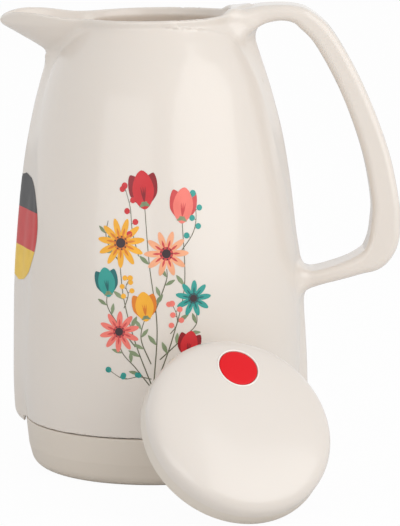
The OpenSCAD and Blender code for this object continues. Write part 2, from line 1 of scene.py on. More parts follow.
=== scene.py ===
"""Insulated serving jug with its twist lid beside it. Lengths in the tables are millimetres."""
import json
import math
import bmesh
import bpy
import numpy as np
from mathutils import Matrix, Vector

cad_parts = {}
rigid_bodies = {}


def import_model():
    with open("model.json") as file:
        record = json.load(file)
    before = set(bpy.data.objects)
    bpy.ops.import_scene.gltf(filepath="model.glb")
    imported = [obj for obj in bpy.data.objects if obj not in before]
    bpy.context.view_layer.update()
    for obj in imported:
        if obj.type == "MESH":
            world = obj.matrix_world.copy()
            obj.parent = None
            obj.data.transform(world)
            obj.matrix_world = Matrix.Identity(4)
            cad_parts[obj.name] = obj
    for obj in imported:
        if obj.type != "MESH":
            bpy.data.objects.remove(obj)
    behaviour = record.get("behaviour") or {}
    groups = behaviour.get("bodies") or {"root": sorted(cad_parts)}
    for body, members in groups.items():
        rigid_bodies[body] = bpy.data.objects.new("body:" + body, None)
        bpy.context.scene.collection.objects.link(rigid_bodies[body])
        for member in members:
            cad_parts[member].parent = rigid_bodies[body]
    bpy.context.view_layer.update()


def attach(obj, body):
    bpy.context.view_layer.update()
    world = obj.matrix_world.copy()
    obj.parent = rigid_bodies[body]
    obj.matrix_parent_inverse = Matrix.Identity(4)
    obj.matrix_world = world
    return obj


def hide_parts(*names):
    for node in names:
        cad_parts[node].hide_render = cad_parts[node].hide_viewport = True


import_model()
MM = 0.001
scene = bpy.context.scene


# ---------------------------------------------------------------- camera
SENSOR = 36.0
FOCAL_IN_FRAME_HEIGHTS = 3347 / 526
CAMERA_AWAY = 1.6
CAMERA_TARGET = (19.65, 0.0, 95.2)
CAMERA_PITCH, CAMERA_ROLL = math.radians(9.34), math.radians(-1.02)


def add_camera():
    pitch, roll = CAMERA_PITCH, CAMERA_ROLL
    target = Vector(CAMERA_TARGET) * MM
    back = Vector((0.0, -math.cos(pitch), math.sin(pitch)))
    right = (-back).cross(Vector((0, 0, 1))).normalized()
    up = right.cross(-back)
    rolled_right = right * math.cos(roll) + up * math.sin(roll)
    rolled_up = -right * math.sin(roll) + up * math.cos(roll)
    data = bpy.data.cameras.new("Camera")
    data.sensor_width = SENSOR
    data.lens = FOCAL_IN_FRAME_HEIGHTS * SENSOR
    data.clip_start, data.clip_end = 0.05, 20.0
    camera = bpy.data.objects.new("Camera", data)
    axes = Matrix((rolled_right, rolled_up, back)).transposed()
    camera.matrix_world = Matrix.Translation(target + back * CAMERA_AWAY) @ axes.to_4x4()
    scene.collection.objects.link(camera)
    scene.camera = camera


add_camera()


# ---------------------------------------------------------------- materials
def srgb(r, g, b):
    def lin(c):
        return c / 12.92 if c <= 0.04045 else ((c + 0.055) / 1.055) ** 2.4
    return (lin(r), lin(g), lin(b), 1.0)


def shades(colour, spread):
    """A colour's darker and lighter neighbours."""
    return srgb(*[max(0, c - spread) for c in colour]), srgb(*[min(1, c + spread) for c in colour])


class Nodes:
    """A short way to wire one material."""

    def __init__(self, name):
        self.mat = bpy.data.materials.new(name)
        self.mat.use_nodes = True
        self.tree = self.mat.node_tree
        self.bsdf = self.tree.nodes["Principled BSDF"]

    def add(self, kind, **values):
        node = self.tree.nodes.new(kind)
        for key, value in values.items():
            setattr(node, key, value)
        return node

    def link(self, a, b):
        self.tree.links.new(a, b)

    def noise(self, scale, detail=3.0, stretch=(1.0, 1.0, 1.0)):
        tex = self.add("ShaderNodeTexCoord")
        mapping = self.add("ShaderNodeMapping")
        mapping.inputs["Scale"].default_value = stretch
        self.link(tex.outputs["Object"], mapping.inputs["Vector"])
        node = self.add("ShaderNodeTexNoise")
        node.inputs["Scale"].default_value = scale
        node.inputs["Detail"].default_value = detail
        self.link(mapping.outputs["Vector"], node.inputs["Vector"])
        return node.outputs["Fac"]

    def ramp(self, fac, stops):
        node = self.add("ShaderNodeValToRGB")
        while len(node.color_ramp.elements) < len(stops):
            node.color_ramp.elements.new(0.5)
        for element, (at, colour) in zip(node.color_ramp.elements, stops):
            element.position, element.color = at, colour
        self.link(fac, node.inputs["Fac"])
        return node.outputs["Color"]

    def span(self, fac, low, high):
        """Spreads a noise over a range of values, wide enough that it isn't cut off."""
        node = self.add("ShaderNodeMapRange")
        node.inputs["To Min"].default_value = low
        node.inputs["To Max"].default_value = high
        node.inputs["From Min"].default_value = 0.1
        node.inputs["From Max"].default_value = 0.9
        self.link(fac, node.inputs["Value"])
        return node.outputs["Result"]

    def bump(self, height, strength, distance):
        node = self.add("ShaderNodeBump")
        node.inputs["Strength"].default_value = strength
        node.inputs["Distance"].default_value = distance
        self.link(height, node.inputs["Height"])
        self.link(node.outputs["Normal"], self.bsdf.inputs["Normal"])


def moulded(name, colour, spread, rough, coat, scatter=0.0):
    """Moulded plastic: faint flow marks in the colour, uneven gloss and a fine orange peel."""
    n = Nodes(name)
    low, high = shades(colour, spread)
    n.link(n.ramp(n.noise(9.0, 1.0), [(0.15, low), (0.85, high)]), n.bsdf.inputs["Base Color"])
    n.link(n.span(n.noise(30.0, 2.0), *rough), n.bsdf.inputs["Roughness"])
    n.bump(n.noise(1500.0, 2.0), 0.05, 0.00004)
    n.bsdf.inputs["Coat Weight"].default_value = coat
    n.bsdf.inputs["Coat Roughness"].default_value = 0.12
    n.bsdf.inputs["IOR"].default_value = 1.49
    if scatter:
        n.bsdf.inputs["Subsurface Weight"].default_value = scatter
        n.bsdf.inputs["Subsurface Radius"].default_value = (0.004, 0.003, 0.0022)
        n.bsdf.inputs["Subsurface Scale"].default_value = 1.0
    return n.mat


def soft(name, colour, rough=(0.55, 0.75), grain=900.0, spread=0.02):
    """Rubber, silicone or foam."""
    n = Nodes(name)
    low, high = shades(colour, spread)
    n.link(n.ramp(n.noise(60.0, 5.0), [(0.3, low), (0.7, high)]), n.bsdf.inputs["Base Color"])
    n.link(n.span(n.noise(120.0), *rough), n.bsdf.inputs["Roughness"])
    n.bump(n.noise(grain, 4.0), 0.25, 0.0002)
    return n.mat


def metal(name, colour, rough, stretch=(40.0, 40.0, 2.0)):
    """Metal or silvering, with fine streaks where the noise is stretched."""
    n = Nodes(name)
    streaks = n.noise(30.0, 2.0, stretch)
    low, high = srgb(*[c - 0.05 for c in colour]), srgb(*colour)
    n.link(n.ramp(streaks, [(0.3, low), (0.7, high)]), n.bsdf.inputs["Base Color"])
    n.link(n.span(streaks, *rough), n.bsdf.inputs["Roughness"])
    n.bsdf.inputs["Metallic"].default_value = 1.0
    return n.mat


def ink(name, colour, spread=0.02):
    """Printed ink, a little uneven."""
    n = Nodes(name)
    low, high = shades(colour, spread)
    n.link(n.ramp(n.noise(140.0, 3.0), [(0.3, low), (0.7, high)]), n.bsdf.inputs["Base Color"])
    n.link(n.span(n.noise(60.0), 0.3, 0.42), n.bsdf.inputs["Roughness"])
    n.bump(n.noise(2200.0, 2.0), 0.06, 0.00003)
    return n.mat


# The range of roughness of each plastic stays above 0.28, where its gloss renders evenly
IVORY = moulded("ivory_plastic", (0.885, 0.85, 0.813), 0.006, (0.285, 0.35), 0.6, 0.05)
LID_IVORY = moulded("lid_ivory_plastic", (0.875, 0.842, 0.808), 0.006, (0.285, 0.35), 0.6, 0.05)
# The lid's band gets a darker, less glossy copy of the lid's plastic
LID_BAND = moulded("lid_band_plastic", (0.86, 0.825, 0.78), 0.006, (0.36, 0.44), 0.1, 0.04)
# Painted highlight: a paler copy of the lid's plastic for the bead round the pour mark, standing in
# for the light caught on its edge
LID_BEAD_HIGHLIGHT = moulded("lid_bead_painted_highlight", (0.95, 0.93, 0.9), 0.005, (0.3, 0.4), 0.2)
BASE_IVORY = moulded("base_ivory_plastic", (0.855, 0.815, 0.765), 0.008, (0.36, 0.46), 0.2, 0.04)
INNER = moulded("inner_plastic", (0.84, 0.775, 0.71), 0.01, (0.38, 0.5), 0.1)
RED = moulded("red_plastic", (0.87, 0.05, 0.1), 0.01, (0.3, 0.4), 0.0)
RED.node_tree.nodes["Principled BSDF"].inputs["Specular IOR Level"].default_value = 0.25
SILICONE = soft("clear_silicone", (0.83, 0.82, 0.79), (0.35, 0.5))
RUBBER = soft("grey_rubber", (0.36, 0.36, 0.37))
FOAM = soft("cream_foam", (0.92, 0.88, 0.78), (0.8, 0.95), 500.0, 0.03)
STEEL = metal("spring_steel", (0.76, 0.77, 0.79), (0.28, 0.4))
SILVERED = metal("silvered_glass", (0.9, 0.91, 0.92), (0.04, 0.09), (3.0, 3.0, 3.0))

NODE_MATERIALS = {
    "outer_shell": IVORY, "handle": IVORY, "pouring_collar": INNER, "neck_seal": SILICONE,
    "glass_flask": SILVERED, "glass_spacers": STEEL, "centring_ring": FOAM,
    "bayonet_ring": IVORY, "base_cushion": RUBBER, "base_seal": RUBBER,
    "base_cap": BASE_IVORY, "lid_dome": LID_IVORY, "pour_mark": RED,
    "drive_hub": INNER, "insulation_puck": FOAM, "stopper_body": BASE_IVORY,
    "hub_clip": STEEL, "stopper_seal": SILICONE, "valve_spindle": STEEL,
    "valve_disc": INNER, "valve_seal": SILICONE, "spindle_screw": STEEL,
}
for obj in bpy.data.objects:
    if obj.type == "MESH" and obj.name in NODE_MATERIALS:
        for slot in obj.material_slots:
            slot.link = "OBJECT"
            slot.material = NODE_MATERIALS[obj.name]


# ---------------------------------------------------------------- the body's curves
SEAM, WALL = 23.5, 2.6


def curve(points, z):
    """A smooth curve through points whose first numbers rise."""
    p = np.asarray(points, float)
    x, y = p[:, 0], p[:, 1]
    m = np.empty_like(y)
    m[1:-1] = (y[2:] - y[:-2]) / (x[2:] - x[:-2])
    m[0], m[-1] = (y[1] - y[0]) / (x[1] - x[0]), (y[-1] - y[-2]) / (x[-1] - x[-2])
    z = np.clip(z, x[0], x[-1])
    i = np.clip(np.searchsorted(x, z, side="right") - 1, 0, len(x) - 2)
    h = x[i + 1] - x[i]
    t = (z - x[i]) / h
    return ((1 + 2 * t) * (1 - t) ** 2 * y[i] + t * (1 - t) ** 2 * h * m[i]
            + t * t * (3 - 2 * t) * y[i + 1] + t * t * (t - 1) * h * m[i + 1])


# [height, radius] of the plain body between its side ridges
PANEL = [(18, 64.6), (23.5, 65.2), (38.8, 66.7), (67.5, 67.4), (96.2, 66.55), (124.9, 63.75),
         (153.6, 59.1), (180.4, 53.1), (193.8, 48.1), (203.3, 42.7), (207.8, 39.8),
         (209.8, 38.6), (211.0, 38.1), (212.2, 38.3), (214.8, 38.9), (222, 38.9)]
# [height, radius] along the nose of the ridge under the spout, and of the one under the handle
NOSE_SPOUT = [(18, 64.6), (20.6, 66.6), (22.1, 68.4), (24.1, 69.7), (26.5, 70.4), (32, 70.7),
              (42, 70.8), (58, 70.4), (84, 69.5), (98, 68.6), (115, 67.0), (132, 65.1),
              (151, 62.3), (170, 58.3), (180, 55.7), (189, 53.0), (196, 50.6), (203, 46.0),
              (209, 42.0), (213, 39.2), (222, 39.0)]
NOSE_HANDLE = [(18, 64.6), (20.6, 66.6), (22.1, 68.4), (24.1, 69.6), (26.5, 70.2), (42, 70.3),
               (57, 69.9), (71.5, 69.2), (85, 68.8), (98, 67.6), (110, 65.9), (120, 64.9),
               (139, 62.8), (158.5, 59.7), (177.7, 55.1), (187.2, 52.3), (194.9, 49.9),
               (200.6, 48.2), (206, 46.6), (211, 45.0), (222, 43.0)]
# [height, degrees] from a ridge's nose to the crease where it meets the plain body
CREASE_SPOUT = [(18, 8), (30, 11), (57, 21), (83, 26), (98, 26.5), (115, 28), (139, 25),
                (155, 19), (172, 14), (190, 12), (201, 14), (207, 22), (214, 30)]
CREASE_HANDLE = [(18, 8), (37, 9), (71, 8), (105, 10.5), (115, 13.5), (134, 15.3), (149, 17.6),
                 (173, 20.8), (183, 21.9), (197, 25.5), (203.8, 31), (207.4, 40), (209.5, 51),
                 (210.8, 65), (212, 74), (222, 75)]
# [height, reach] of the spout's underside and lip
KEEL = [(190, 46.0), (195.2, 49.0), (196.9, 50.2), (198.2, 51.2), (199.6, 52.7), (202.5, 57.0),
        (205.4, 61.8), (208.4, 66.8), (209.8, 69.2), (211.0, 71.2), (212.2, 72.4),
        (213.6, 72.8), (222, 72.6)]
# [x, height] of the rim, from the spout's tip to the handle
RIM_LINE = [(-80, 214.2), (-73, 214.6), (-71, 216.0), (-67.4, 217.2), (-63.6, 217.8),
            (-60.0, 217.85), (-54, 217.4), (-49.1, 216.75), (-42.1, 215.65), (-37.4, 215.15),
            (-29.7, 214.95), (-18, 214.8), (22, 214.8), (32.2, 215.2), (38.3, 216.1),
            (45.4, 217.5), (60, 218.4)]
SPOUT_ROOT, SPOUT_HALF, SPOUT_BACK = 30.0, 24.0, 24
SPOUT_FOOT, SPOUT_FULL, SPOUT_FLOOR = 196.2, 20.6, 196.4
# [x, z, half thickness, half width] along the handle
HANDLE = [(35.0, 209.4, 6.3, 14.6), (43.0, 211.4, 5.7, 13.5), (50.8, 214.2, 4.4, 12.2),
          (59.8, 215.1, 3.75, 12.0), (66.8, 214.1, 4.1, 12.0), (71.8, 211.2, 4.8, 12.0),
          (79.8, 203.0, 5.2, 12.0), (90.2, 184.4, 5.5, 12.0), (98.4, 164.7, 5.75, 12.0),
          (104.6, 144.8, 6.1, 12.0), (108.1, 124.4, 6.45, 12.0), (108.1, 114.0, 6.9, 12.0),
          (106.7, 104.8, 7.05, 12.0), (102.4, 97.9, 6.2, 12.0), (95.1, 94.3, 4.5, 12.0),
          (87.1, 91.6, 3.9, 12.0), (78.0, 89.2, 3.6, 12.0), (72.0, 88.0, 4.2, 12.0),
          (64.0, 87.6, 6.0, 12.6)]


def catmull(points, per):
    """A smooth line through points, with per steps from one to the next."""
    p = np.asarray(points, float)
    p = np.vstack([2 * p[0] - p[1], p, 2 * p[-1] - p[-2]])
    out = []
    for i in range(1, len(p) - 2):
        a, b, c, d = p[i - 1:i + 3]
        for t in np.arange(per) / per:
            out.append(0.5 * (2 * b + (c - a) * t + (2 * a - 5 * b + 4 * c - d) * t * t
                              + (3 * b - a - 3 * c + d) * t ** 3))
    out.append(p[-2])
    return np.array(out)


HANDLE_LINE = catmull(HANDLE, 7)


def ramp(a, b, t):
    """Eases from 0 at a to 1 at b."""
    u = np.clip((t - a) / (b - a), 0, 1)
    return u * u * (3 - 2 * u)


def smin(a, b, k):
    """The union of two fields, rounded over a width of k."""
    h = np.maximum(k - np.abs(a - b), 0) / k
    return np.minimum(a, b) - h * h * k * 0.25


def smax(a, b, k):
    """What two fields share, rounded over a width of k."""
    return -smin(-a, -b, k)


RIDGE_BLUNT = 2.4


def ridged(z, phi, nose_points, crease_points, panel):
    """Radius of the body near one of its two side ridges, phi degrees away from it."""
    nose = np.maximum(curve(nose_points, z), panel)
    crease = curve(crease_points, z)
    near = np.sqrt(phi * phi + RIDGE_BLUNT * RIDGE_BLUNT) - RIDGE_BLUNT * (1 - ramp(0, crease, phi))
    c, a = np.radians(crease), np.radians(np.minimum(near, 89.0))
    xc, yc = panel * np.cos(c), panel * np.sin(c)
    flank = 1 / (np.cos(a) / nose + np.sin(a) * (1 - xc / nose) / yc)
    t = ramp(crease * 0.86 - 0.6, crease * 1.14 + 0.6, phi)
    return np.maximum(flank * (1 - t) + panel * t, panel * 0.99)


def body_radius(x, y, z):
    """The body's radius towards a point, and that of the plain body at its height."""
    panel = curve(PANEL, z)
    phi = np.degrees(np.arctan2(np.abs(y), np.abs(x)))
    spout_side = ridged(z, phi, NOSE_SPOUT, CREASE_SPOUT, panel)
    handle_side = ridged(z, phi, NOSE_HANDLE, CREASE_HANDLE, panel)
    return np.where(x < 0, spout_side, handle_side), panel


def spout_field(x, y, z):
    """Signed distance, roughly, to the spout's lobe."""
    def level(x, y, z):
        reach = curve(KEEL, z) - SPOUT_ROOT
        half = SPOUT_HALF * np.sqrt(np.clip((z - SPOUT_FOOT) / SPOUT_FULL, 0.002, 1.1))
        u = np.maximum(-x - SPOUT_ROOT, 0) / reach
        v = np.maximum(x + 8, 0) / SPOUT_BACK
        w = np.sqrt(y * y + 0.3) / half
        return w ** 1.5 + u * u + v * v - 1
    e = 0.4
    g = level(x, y, z)
    gx = (level(x + e, y, z) - level(x - e, y, z)) / (2 * e)
    gy = (level(x, y + e, z) - level(x, y - e, z)) / (2 * e)
    gz = (level(x, y, z + e) - level(x, y, z - e)) / (2 * e)
    flat = gx * gx + gy * gy
    d = g / np.sqrt(flat + np.minimum(gz * gz, 1.5 * flat) + 2e-4)
    return np.maximum(d, (SPOUT_FLOOR - z) * 0.8)


FAR_FROM_HANDLE, HANDLE_EDGE = 30.0, 3.4


def handle_field(x, y, z):
    """Signed distance to the handle, a rounded bar swept along its middle line."""
    out = np.full(x.shape, FAR_FROM_HANDLE)
    near = (x > 24) & (np.abs(y) < 26) & (z > 70) & (z < 228)
    if not near.any():
        return out
    px, py, pz = x[near], y[near], z[near]
    best = np.full(px.shape, 1e9)
    across = np.zeros(px.shape)
    half = np.zeros(px.shape)
    width = np.zeros(px.shape)
    line = HANDLE_LINE
    for a, b in zip(line[:-1], line[1:]):
        dx, dz = b[0] - a[0], b[1] - a[1]
        length = math.hypot(dx, dz)
        t = np.clip(((px - a[0]) * dx + (pz - a[1]) * dz) / length ** 2, 0, 1)
        qx, qz = px - a[0] - t * dx, pz - a[1] - t * dz
        d = qx * qx + qz * qz
        hit = d < best
        best = np.where(hit, d, best)
        across = np.where(hit, np.sqrt(d), across)
        half = np.where(hit, a[2] + (b[2] - a[2]) * t, half)
        width = np.where(hit, a[3] + (b[3] - a[3]) * t, width)
    r = np.minimum(HANDLE_EDGE, half * 0.85)
    u, v = across - (half - r), np.abs(py) - (width - r)
    out[near] = np.hypot(np.maximum(u, 0), np.maximum(v, 0)) + np.minimum(np.maximum(u, v), 0) - r
    return out


COLLAR_HOLE, FLOOR_TOP, FLOOR_LOW = 29.0, 200.6, 198.0
FOOT, FOOT_EDGE = SEAM + 0.3, 65.5
RIM_ROUND, SPOUT_BLEND, HANDLE_BLEND = 1.3, 4.5, 6.5
BOWL_BLEND, BOWL_FILLET, FLOOR_FILLET, CUT_EDGE = 6.0, 5.0, 3.0, 0.5
# Slanting sides: what a field is scaled by, so that it stays close to a true distance
SIDE_SLANT, RIM_SLANT = 0.93, 0.96


def shell_field(p):
    """Negative inside the moulded body's wall."""
    x, y, z = p[..., 0], p[..., 1], p[..., 2]
    rho = np.hypot(x, y)
    radius, panel = body_radius(x, y, z)
    body = (rho - radius) * SIDE_SLANT
    spout = spout_field(x, y, z)
    top = (z - curve(RIM_LINE, x)) * RIM_SLANT
    outer = smax(smin(body, spout, SPOUT_BLEND), top, RIM_ROUND)
    outer = smin(outer, handle_field(x, y, z), HANDLE_BLEND)
    bowl = smin((rho - panel) * RIM_SLANT, spout, BOWL_BLEND) + WALL
    bowl = smax(bowl, FLOOR_TOP - z, BOWL_FILLET)
    inside = smax(rho - (panel - WALL), z - FLOOR_LOW, FLOOR_FILLET)
    f = smax(outer, -bowl, RIM_ROUND)
    f = smax(f, -inside, 0.6)
    f = smax(f, COLLAR_HOLE - np.where((z > 190) & (z < 208), rho, 99.0), CUT_EDGE)
    under_seam = np.maximum(z - FOOT, rho - FOOT_EDGE)
    return smax(f, -np.minimum(under_seam, z - 20.4), CUT_EDGE)


def gradient(field, p, e):
    """The field's slope at each point, measured over 2 e."""
    g = np.empty_like(p)
    for k in range(3):
        d = np.zeros(3)
        d[k] = e
        g[:, k] = (field(p + d) - field(p - d)) / (2 * e)
    return g


def stepped(stretches, block):
    """Grid lines over several stretches, each with its own spacing, in whole blocks."""
    line = [stretches[0][0]]
    for (_, step), (stop, _) in zip(stretches[:-1], stretches[1:]):
        while line[-1] < stop:
            line.append(line[-1] + step)
    while (len(line) - 1) % block:
        line.append(line[-1] + stretches[-2][1])
    return np.array(line)


def surface_nets(field, stretches):
    """Quads on the zero surface of a field, and their corners. Only blocks near it are filled in."""
    block = 5
    axes = [stepped(s, block) for s in stretches]
    shape = [len(a) for a in axes]
    ends = [a[::block] for a in axes]
    coarse = [(e[:-1] + e[1:]) / 2 for e in ends]
    halves = np.meshgrid(*[(e[1:] - e[:-1]) / 2 for e in ends], indexing="ij")
    middle = field(np.stack(np.meshgrid(*coarse, indexing="ij"), -1))
    near = np.abs(middle) < np.sqrt(sum(h * h for h in halves)) + 1.0
    values = np.repeat(np.repeat(np.repeat(middle, block, 0), block, 1), block, 2)
    values = np.pad(values, ((0, 1), (0, 1), (0, 1)), "edge").astype(np.float32)
    todo = np.zeros(shape, bool)
    for i, j, k in np.argwhere(near) * block:
        todo[i:i + block + 1, j:j + block + 1, k:k + block + 1] = True
    points = np.argwhere(todo)
    for start in range(0, len(points), 400000):
        at = points[start:start + 400000]
        values[tuple(at.T)] = field(np.stack([a[at[:, i]] for i, a in enumerate(axes)], -1))
    neg = values < 0
    cells = [n - 1 for n in shape]
    count = np.zeros(cells, np.int8)
    for dx in (0, 1):
        for dy in (0, 1):
            for dz in (0, 1):
                count += neg[dx:dx + cells[0], dy:dy + cells[1], dz:dz + cells[2]]
    active = (count > 0) & (count < 8)
    where = np.argwhere(active)
    index = np.full(cells, -1, np.int64)
    index[active] = np.arange(len(where))
    total, hits = np.zeros((len(where), 3)), np.zeros(len(where))
    for axis in range(3):
        others = [k for k in range(3) if k != axis]
        for a in (0, 1):
            for b in (0, 1):
                s = where.copy()
                s[:, others[0]] += a
                s[:, others[1]] += b
                e = s.copy()
                e[:, axis] += 1
                v0, v1 = values[tuple(s.T)], values[tuple(e.T)]
                cross = (v0 < 0) != (v1 < 0)
                t = np.where(cross, v0 / np.where(cross, v0 - v1, 1), 0)
                point = s.astype(float)
                point[:, axis] += t
                total += point * cross[:, None]
                hits += cross
    mean = total / hits[:, None]
    verts = np.stack([np.interp(mean[:, i], np.arange(len(a)), a) for i, a in enumerate(axes)], -1)
    quads = []
    for axis in range(3):
        o1, o2 = [(1, 2), (2, 0), (0, 1)][axis]
        ahead = [slice(None)] * 3
        ahead[axis] = slice(1, None)
        behind = [slice(None)] * 3
        behind[axis] = slice(0, -1)
        change = neg[tuple(behind)] != neg[tuple(ahead)]
        at = np.argwhere(change)
        at = at[(at[:, o1] > 0) & (at[:, o2] > 0)]
        at = at[(at[:, o1] < cells[o1]) & (at[:, o2] < cells[o2])]
        flip = neg[tuple(at.T)]

        def cell(a, b):
            c = at.copy()
            c[:, o1] -= a
            c[:, o2] -= b
            return index[tuple(c.T)]
        q = np.stack([cell(1, 1), cell(0, 1), cell(0, 0), cell(1, 0)], 1)
        q[~flip] = q[~flip][:, ::-1]
        quads.append(q)
    return verts, np.vstack(quads)


def settle(field, verts, quads, rounds, reach):
    """Pull the corners onto the surface, evening them out along it."""
    edges = np.vstack([quads[:, [0, 1]], quads[:, [1, 2]], quads[:, [2, 3]], quads[:, [3, 0]]])
    edges = np.unique(np.sort(edges, 1), axis=0)
    degree = np.bincount(edges.ravel(), minlength=len(verts))[:, None]
    for k in range(rounds):
        if k < rounds - 1:
            mean = np.zeros_like(verts)
            np.add.at(mean, edges[:, 0], verts[edges[:, 1]])
            np.add.at(mean, edges[:, 1], verts[edges[:, 0]])
            verts = verts * 0.5 + mean / degree * 0.5
        for _ in range(2):
            g = gradient(field, verts, 0.05)
            move = (field(verts) / np.maximum((g * g).sum(1), 0.05))[:, None] * g
            size = np.linalg.norm(move, axis=1, keepdims=True)
            verts = verts - move * np.minimum(1, reach / np.maximum(size, 1e-9))
    return verts


def mesh_object(name, verts, faces, material, body, replaces=(), normals=None):
    mesh = bpy.data.meshes.new(name)
    mesh.from_pydata([tuple(v) for v in np.asarray(verts) * MM], [], [tuple(f) for f in faces])
    mesh.validate()
    mesh.update()
    mesh.polygons.foreach_set("use_smooth", [True] * len(mesh.polygons))
    if normals is not None:
        mesh.normals_split_custom_set_from_vertices([tuple(n) for n in normals])
    mesh.materials.append(material)
    obj = bpy.data.objects.new(name, mesh)
    scene.collection.objects.link(obj)
    finish_piece(obj, body, replaces)
    return obj


def finish_piece(obj, body, replaces=()):
    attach(obj, body)
    if replaces:
        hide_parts(*replaces)


def unit(v):
    return v / np.maximum(np.linalg.norm(v, axis=-1, keepdims=True), 1e-12)


def build_shell():
    """The body, spout and handle as one moulded skin, with coarser rows where it is plain."""
    step = 1.23
    heights = [(18.5, step), (30, step * 2.3), (78, step * 1.3), (104, step * 2.3),
               (188, step * 0.86), (222, 0)]
    verts, quads = surface_nets(shell_field, [
        [(-76.0, step), (118.0, 0)], [(-71.0, step), (71.0, 0)], heights])
    verts = settle(shell_field, verts, quads, 4, step * 0.5)
    normals = unit(gradient(shell_field, verts, 0.22))
    mesh_object("moulded_body", verts, quads, IVORY, "jug",
                ("outer_shell", "handle"), normals)


build_shell()


# ---------------------------------------------------------------- turned pieces
def rounded(points, radii, steps=6):
    """A closed outline of [radius, height] points with its corners rounded."""
    out = []
    for i, (point, radius) in enumerate(zip(points, radii)):
        p = np.array(point, float)
        if radius <= 0:
            out.append(p)
            continue
        a, b = np.array(points[i - 1]) - p, np.array(points[(i + 1) % len(points)]) - p
        length_a, length_b = np.linalg.norm(a), np.linalg.norm(b)
        a, b = a / length_a, b / length_b
        half = math.acos(np.clip(a @ b, -1, 1)) / 2
        cut = min(radius / math.tan(half), 0.49 * length_a, 0.49 * length_b)
        for t in np.linspace(0, 1, steps):
            out.append((1 - t) ** 2 * (p + a * cut) + 2 * t * (1 - t) * p + t * t * (p + b * cut))
    return out


def stacked(rings, columns, point):
    """A closed skin of [out, height] rings. point places one corner. No width makes a pole."""
    verts, rows = [], []
    turns = np.linspace(0, 2 * math.pi, columns, endpoint=False)
    for out, height in rings:
        if out < 1e-6:
            rows.append([len(verts)] * columns)
            verts.append(point(0.0, 0.0, height))
        else:
            rows.append(list(range(len(verts), len(verts) + columns)))
            verts += [point(out, a, height) for a in turns]
    faces = []
    for low, high in zip(rows, rows[1:] + rows[:1]):
        for i in range(columns):
            k = (i + 1) % columns
            face = list(dict.fromkeys((low[i], low[k], high[k], high[i])))
            if len(face) > 2:
                faces.append(face)
    return verts, faces


def revolve(profile, columns=192):
    """Turns a closed outline round the Z axis. It runs up on its outer side."""
    return stacked(profile, columns, lambda r, a, z: (r * math.cos(a), r * math.sin(a), z))


def sector(profile, start, width, columns=24):
    """A piece of a turned ring, closed at both ends. Angles are in degrees."""
    turns = np.radians(np.linspace(start, start + width, columns))
    n = len(profile)
    verts = [(r * math.cos(a), r * math.sin(a), z) for a in turns for r, z in profile]
    faces = [[i * n + j, (i + 1) * n + j, (i + 1) * n + (j + 1) % n, i * n + (j + 1) % n]
             for i in range(columns - 1) for j in range(n)]
    faces += [list(range(n)), [(columns - 1) * n + j for j in reversed(range(n))]]
    return verts, faces


def joined(*parts):
    """Several [verts, faces] pairs as one."""
    verts, faces = [], []
    for v, f in parts:
        faces += [[i + len(verts) for i in face] for face in f]
        verts += list(v)
    return verts, faces


def placed(verts, place):
    return [tuple(place @ Vector(v)) for v in verts]


def crisp(obj, degrees=40):
    obj.data.set_sharp_from_angle(angle=math.radians(degrees))


def apply_modifiers(obj):
    evaluated = obj.evaluated_get(bpy.context.evaluated_depsgraph_get())
    mesh = bpy.data.meshes.new_from_object(evaluated)
    old = obj.data
    obj.modifiers.clear()
    obj.data = mesh
    bpy.data.meshes.remove(old)
    mesh.polygons.foreach_set("use_smooth", [True] * len(mesh.polygons))


def arc(cx, cz, radius, start, stop, step):
    """Points on part of a circle, about step degrees apart."""
    count = max(2, int(abs(stop - start) / step) + 1)
    return [(cx + radius * math.cos(math.radians(a)), cz + radius * math.sin(math.radians(a)))
            for a in np.linspace(start, stop, count)]


def build_base():
    """The base cap, its shallow foot ring, the bayonet spigot and its lugs."""
    foot, corner, seam_r = 56.0, 7.0, 65.2
    side = arc(foot, corner, corner, -90, -12, 4)
    outline = [(0, 0), (42, 0), (42.4, 1), (49.6, 1), (50, 0)]
    outline += side + [(64.1, 10.8)]
    radii = [0, 0.3, 0.3, 0.3, 0.3] + [0] * len(side) + [5]
    outline += [(seam_r, SEAM - 0.1), (59.9, SEAM - 0.1), (59.9, 33.6), (57.5, 33.6), (57.5, SEAM),
                (54, 3), (33, 3), (33, 8), (31, 8), (31, 3), (0, 3)]
    radii += [0.9, 0.3, 0.5, 0.5, 0, 3, 0.5, 0.5, 0.5, 0.5, 0]
    lug = rounded([(59.7, 31.0), (61.7, 31.0), (61.7, 33.6), (59.7, 33.6)], [0, 0.4, 0.4, 0], 4)
    verts, faces = joined(revolve(rounded(outline, radii)),
                          *[sector(lug, a - 25, 50) for a in (0, 120, 240)])
    crisp(mesh_object("base_cap_shell", verts, faces, BASE_IVORY, "base",
                      ("base_cap",)))


# ---------------------------------------------------------------- lid
LID_R, BAND_TOP, CROWN_RISE, CROWN_POWER, LID_WALL = 43.5, 6.6, 12.0, 3.5, 2.2
PLUG_LENGTH, PLUG_END_R = 28.0, 21.5
LEAN = math.atan2(PLUG_LENGTH, LID_R - PLUG_END_R)
LID_X, LID_Y, LID_HEADING = 32.7, -111.3, math.radians(-64.4)
LID_PLACE = (Matrix.Translation((LID_X, LID_Y, LID_R * math.sin(LEAN)))
             @ Matrix.Rotation(LID_HEADING, 4, "Z") @ Matrix.Rotation(LEAN, 4, "Y"))
DOT_OUT, DOT_R, DOT_TURN = 25.7, 9.2, math.radians(-10)


def crown_z(r):
    """Height of the crown at a radius."""
    share = min(1.0, r / (LID_R - 0.3))
    return BAND_TOP + CROWN_RISE * (1 - share ** CROWN_POWER) ** (1 / CROWN_POWER)


DOT_LEAN = math.atan2(crown_z(DOT_OUT - DOT_R) - crown_z(DOT_OUT + DOT_R), 2 * DOT_R)
DOT_SIDE = LID_PLACE @ Matrix.Rotation(DOT_TURN, 4, "Z")
DOT_PLACE = (DOT_SIDE @ Matrix.Translation((-DOT_OUT, 0, crown_z(DOT_OUT)))
             @ Matrix.Rotation(-DOT_LEAN, 4, "Y"))


